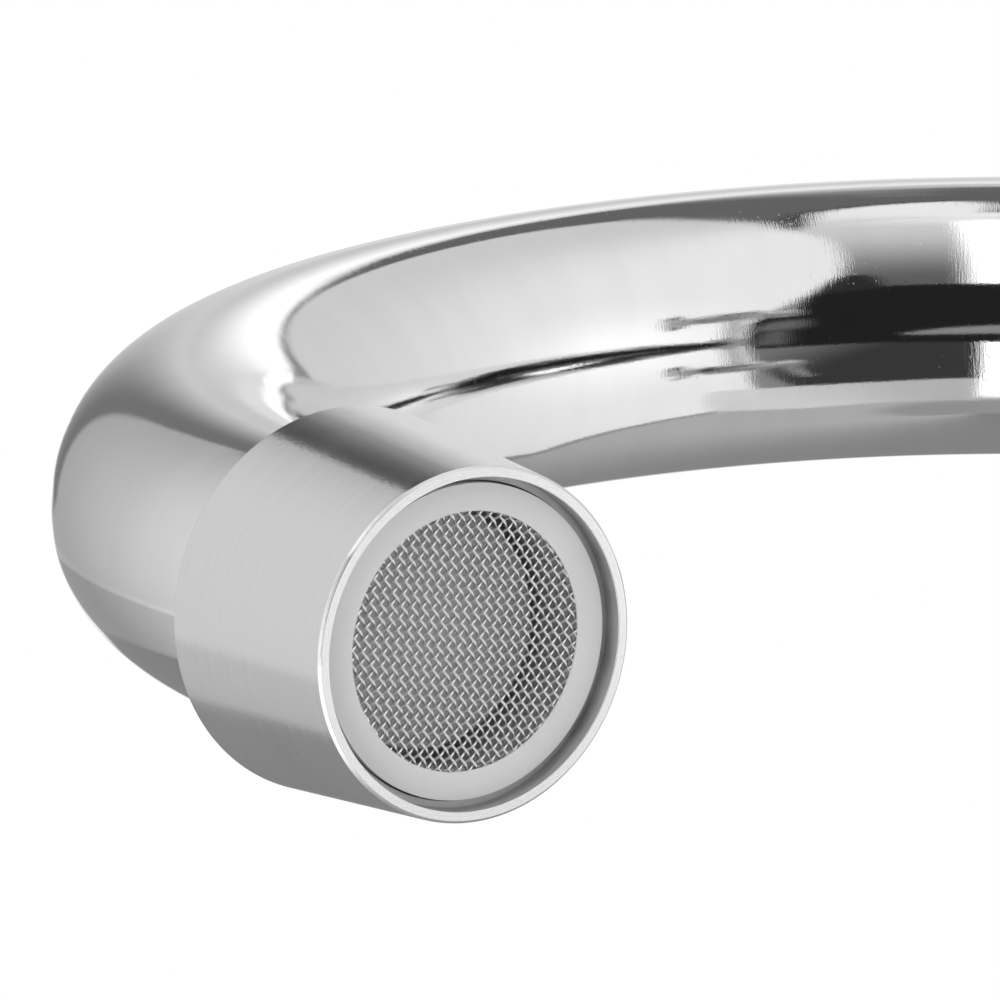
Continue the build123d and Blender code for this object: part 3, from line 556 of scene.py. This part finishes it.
# corners, level or the two levels it goes between, softness in degrees, places that the levels go between
CARDS = (
    # the upper half of the room
    (((-105, 10), (-105, 95), (300, 95), (300, 10)), (0.68, 1.0), 2, ((40, 80), (170, 80))),
    # the wall far to the left, its darker lower part, and the light line between them
    (((190, -60), (190, 80), (310, 80), (310, -60)), (0.42, 0.83), 0.5, ((195, 8), (262, 17))),
    (((190, -2), (262, -15.8), (300, -25), (300, -70), (190, -20)), (0.34, 0.60), 0.3,
     ((205, -8), (245, -19))),
    (((190, -1.2), (235, -9.3), (262, -15), (262, -16.3), (190, -2.2)), (0.46, 0.82), 0.3,
     ((205, -4), (250, -13))),
    # the lower half of the room and its darkest foot
    (((-105, -2), (180, -2), (228, -26.5), (310, -70), (310, -95), (-105, -95)), (0.26, 0.48), 0.7,
     ((185, -40), (105, -58))),
    (((-105, -74), (50, -76), (110, -84), (110, -99), (-105, -99)), 0.34, 3, None),
    # the shade high over the viewpoint, and the ceiling's light above it
    (((-105, 18), (-105, 95), (75, 95), (75, 60), (40, 18)), (0.13, 0.72), 1.5, ((5, 30), (5, 82))),
    (((-105, 84), (-105, 105), (80, 105), (80, 84)), 0.95, 5, None),
    # the lit wall before the model's front
    (((-105, -72), (-105, 85), (-3, 85), (-3, -72)), (0.75, 1.6), 3, ((-75, 0), (-30, 0))),
    # the black line over the softbox, and the grey inside it
    (((56, 75.8), (66, 78), (78, 79.8), (92, 80.9), (110, 81), (128, 80.3), (142, 78.6), (158, 75.2),
      (172, 71.6), (186, 67.7), (186, 39), (162, 38), (56, 50)), 0.05, 0.4, None),
    (((66, 76.8), (78, 78.7), (92, 79.6), (110, 79.6), (128, 78.6), (142, 76.9), (158, 73.6), (172, 70),
      (186, 66.2), (186, 39), (162, 38), (66, 50)), 0.145, 0.4, None),
    # what stands beyond the softbox: a fading wall, a lit edge, a black flag, and a grey gap
    (((155, -20), (155, 39), (200, 43), (201.5, 34), (201.6, 24), (201, 3), (180, -9)), (0.8, 0.19), 0.7,
     ((178, 20), (198, 23))),
    (((176, 60), (177.5, 38), (184, 38), (184, 60)), (0.22, 0.7), 1.5, ((180, 56), (180, 37))),
    (((178, 46), (184, 43), (204, 42), (229, 84), (196, 84), (178, 68)), (0.14, 0.02), 1.5,
     ((182, 45), (192, 45))),
    (((155, 19), (158, 30), (163, 41), (168, 41), (164, 19)), 0.3, 0.5, None),
    (((70, -51.5), (82, -56.6), (127, -41.6), (140, -30), (82, -40)), 0.3, 0.6, None),
    # the large softbox and its hot middle
    (((20.5, -50), (20.5, 46), (22, 54), (25, 60.5), (29, 66), (34.5, 70), (42, 73), (50, 75), (62, 77),
      (75, 78.4), (90, 79), (105, 79), (118, 78.3), (130, 76.7), (142, 73.5), (152, 69), (160, 63.5),
      (165, 57.5), (166.7, 51), (165.5, 44), (162.5, 35), (157.5, 23), (147.5, 0), (126, -40), (82, -55),
      (60, -54)), (0.70, 0.97), 0.4, ((165, 45), (60, 20))),
    (((46, -20), (46, 16), (64, 24), (84, 14), (84, -20)), 1.25, 20, None),
    # the grey tail and the dark spindle in front of the softbox
    (((104, -4), (112, 5), (125, 11), (140, 16), (156, 19.5), (166, 18.5), (172, 15), (178, 4), (178, -12),
      (140, -14), (110, -9)), (0.56, 0.88), 1.5, ((140, 12), (106, -4))),
    (((57, -5), (58, -9.5), (66, -9.5), (79, -8), (88, -5.7), (99, -1.8), (104, 0.6), (103, 2.6), (97, 3.3),
      (89, 3), (80, 1), (68, -2.2)), 0.07, 1, None),
    # the white corner at the softbox's far end: its lamp, its bright line and a second lamp
    (((161, 21), (162.5, 31), (166, 38), (177, 38.5), (183, 34), (183, 20), (168, 18.5)), (1.28, 0.64), 1.6,
     ((168, 30), (181, 23))),
    (((162, 20.5), (169, 19), (172.3, 16.3), (174.4, 11), (175.8, 6), (174, 6), (162.5, 19)), 1.2, 0.5, None),
    (((180, -2), (180, 9), (186, 9.3), (193, 8), (197, 2.5), (194, -1.5), (188, -3.5)), 1.2, 0.8, None),
    # the light bands under the softbox
    (((-4, -47), (60, -47), (80, -56), (77, -59), (73, -63), (67, -66.8), (59, -69), (49, -70.8),
      (39, -72.2), (29, -73.5), (11, -75), (-4, -76)), (0.54, 0.74), 0.4, ((10, -60), (66, -55))),
    (((51, -47.5), (62, -42.2), (79.5, -55.5), (60, -52)), 0.76, 0.6, None),
    # the lower black flag and the grey edge beside it
    (((-4, -16.5), (42, -14), (46, -34), (46, -48.6), (35, -51.6), (20, -53.6), (0, -54.2), (-4, -54.2)),
     (0.2, 0.045), 0.5, ((42, -18), (28, -36))),
    (((43, -28), (46, -31), (53, -46.6), (44, -49.2)), 0.27, 0.6, None),
    # the upper black flag, its tip, two dim glints on it, and a light patch below it
    (((-20, 25.3), (12, 26.5), (24, 25.4), (39, 2), (41.2, -8), (41.8, -15.2), (30, -18), (0, -22),
      (-20, -23.3)), 0.017, 0.4, None),
    (((12, 25), (26, 22), (21, 36), (16.5, 37), (14, 34)), 0.03, 0.5, None),
    (((27, 3), (32, 4.5), (37, 1), (37, -3), (28, -3)), 0.15, 2, None),
    (((31, -3), (36, -4), (39, -13), (33, -15)), 0.12, 2, None),
    (((-20, -7), (2, -10), (11, -13.5), (8, -15), (-20, -16)), 0.28, 0.8, None),
)


def studio_place(tree, direction):
    """A direction's azimuth and elevation in degrees, as (x, y)."""
    right, up, back = [dot(tree, direction, axis) for axis in (CAMERA_RIGHT, CAMERA_UP, CAMERA_BACK)]
    azimuth = calc(tree, "DEGREES", calc(tree, "ARCTAN2", right, back))
    azimuth = calc(tree, "WRAP", azimuth, SEAM + 360.0, SEAM)
    elevation = calc(tree, "DEGREES", calc(tree, "ARCSINE", up))
    return node(tree, "CombineXYZ", {0: azimuth, 1: elevation}).outputs[0]


def card(tree, place, below, shown, corners, level, soft, fade):
    """One card of the studio over what is below it, as a convex outline of (azimuth, elevation).

    level is its brightness, or with fade = (first, second) a pair that it goes between from one place to
    the other.
    """
    corners = [Vector(corner) for corner in corners]
    middle = sum(corners, Vector((0, 0))) / len(corners)
    mask = shown
    for first, second in zip(corners, corners[1:] + corners[:1]):
        inward = Vector((first.y - second.y, second.x - first.x)).normalized()
        if inward.dot(middle - first) < 0:
            inward = -inward
        inside = dot(tree, place, inward.to_3d())
        edge = inward.dot(first)
        mask = calc(tree, "MULTIPLY", mask, spread(tree, inside, edge - soft, edge + soft, smooth=True))
    if not fade:
        return blend(tree, mask, below, grey(level))
    start, end = Vector(fade[0]), Vector(fade[1])
    way = (end - start).normalized()
    inside = dot(tree, place, way.to_3d())
    level = spread(tree, inside, start.dot(way), end.dot(way), level[0], level[1], smooth=True)
    return blend(tree, mask, below, node(tree, "CombineColor", {0: level, 1: level, 2: level}).outputs[0])


def add_studio():
    """A white studio with softboxes and dark flags, which the metal reflects; the camera sees plain white."""
    world = bpy.data.worlds.new("studio")
    bpy.context.scene.world = world
    world.use_nodes = True
    tree = world.node_tree
    tree.nodes.clear()
    ray = node(tree, "LightPath").outputs
    backdrop = calc(tree, "MAXIMUM", calc(tree, "MAXIMUM", ray["Is Camera Ray"], ray["Is Glossy Ray"]),
                    ray["Is Transmission Ray"])
    colour = blend(tree, backdrop, grey(AMBIENT), grey(1.0))
    shown = calc(tree, "SUBTRACT", 1.0, ray["Is Camera Ray"])
    place = studio_place(tree, node(tree, "TexCoord").outputs["Generated"])
    for corners, level, soft, fade in CARDS:
        colour = card(tree, place, colour, shown, corners, level, soft, fade)
    background = node(tree, "Background", {"Color": colour, "Strength": 1.0})
    output = node(tree, "OutputWorld")
    tree.links.new(background.outputs[0], output.inputs["Surface"])


def floor_material():
    """Pale paint that fades away with distance. From below it isn't there."""
    material = bpy.data.materials.new("floor")
    material.use_nodes = True
    tree = material.node_tree
    tree.nodes.clear()
    place = object_place(tree)
    far = node(tree, "VectorMath", {0: place}, operation="LENGTH").outputs["Value"]
    colour = blend(tree, noise(tree, place, 60.0, 3.0), grey(0.90), grey(0.93))
    pale = node(tree, "BsdfDiffuse", {"Color": colour})
    gone = node(tree, "BsdfTransparent")
    below = node(tree, "NewGeometry").outputs["Backfacing"]
    share = calc(tree, "MAXIMUM", below, spread(tree, far, *FLOOR_FADE, smooth=True))
    mixed = node(tree, "MixShader", {0: share, 1: pale.outputs[0], 2: gone.outputs[0]})
    output = node(tree, "OutputMaterial")
    tree.links.new(mixed.outputs[0], output.inputs["Surface"])
    return material


def add_floor(count=96):
    """A pale floor below the levers' reach, seen from above only."""
    points = [(0, 0, 0)] + [
        (radius * cos(2 * pi * step / count), radius * sin(2 * pi * step / count), 0)
        for radius in FLOOR_RADII for step in range(count)]
    faces = [(0, 1 + step, 1 + (step + 1) % count) for step in range(count)]
    for ring in range(len(FLOOR_RADII) - 1):
        low, high = 1 + ring * count, 1 + (ring + 1) * count
        for step in range(count):
            after = (step + 1) % count
            faces.append((low + step, high + step, high + after, low + after))
    data = bpy.data.meshes.new("floor")
    data.from_pydata(points, [], faces)
    data.materials.append(floor_material())
    floor = bpy.data.objects.new("floor", data)
    floor.location = (0, RISER_Y, FLOOR_Z)
    for kind in ("diffuse", "glossy", "transmission", "shadow", "volume_scatter"):
        setattr(floor, "visible_" + kind, False)
    bpy.context.scene.collection.objects.link(floor)


# ---------------------------------------------------------------- put together
def dress_nodes():
    """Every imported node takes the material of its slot, and two of the aerator's take their own."""
    finishes = {
        "chrome": chrome_cast(),
        "turned_steel": stainless(),
        "stainless": stainless(),
        "brass": brass(),
        "ceramic": ceramic(),
        "white_plastic": plastic("white_plastic", 0.80, 0.86, 0.25),
        "aerator_body": plastic("aerator_plastic", 0.91, 0.96, 0.0, WELL_Z),
        # the flow plate's own white, lifted near pure white as painted light against the shade behind the
        # screen; above PLATE_WELL_Z it takes the well's painted shade
        "aerator_flow_plate": plastic("plate_plastic", 0.96, 0.99, 0.0, PLATE_WELL_Z),
        "black_rubber": rubber(),
        "red_index": enamel("red_index", (0.42, 0.012, 0.012, 1), (0.56, 0.02, 0.018, 1)),
        "blue_index": enamel("blue_index", (0.012, 0.07, 0.38, 1), (0.02, 0.10, 0.50, 1)),
    }
    for name, piece in nodes.items():
        for slot in piece.material_slots:
            slot.material = finishes[name if name in finishes else slot.material.name.split(".")[0]]


def add_pieces():
    """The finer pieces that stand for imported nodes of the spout."""
    for piece, stands_for, slot in (
        (tube_skin(chrome_tube()), "spout_tube", "chrome"),
        (collar_skin(turned_steel(), faced_steel(), bored_steel()), "outlet_collar", "turned_steel"),
        (woven_screen(stainless_wire()), "aerator_outlet_screen", "stainless"),
    ):
        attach(piece, "spout")
        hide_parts(stands_for)


bpy.context.scene.view_settings.view_transform = "Standard"
add_camera()
add_studio()
dress_nodes()
add_pieces()
add_floor()
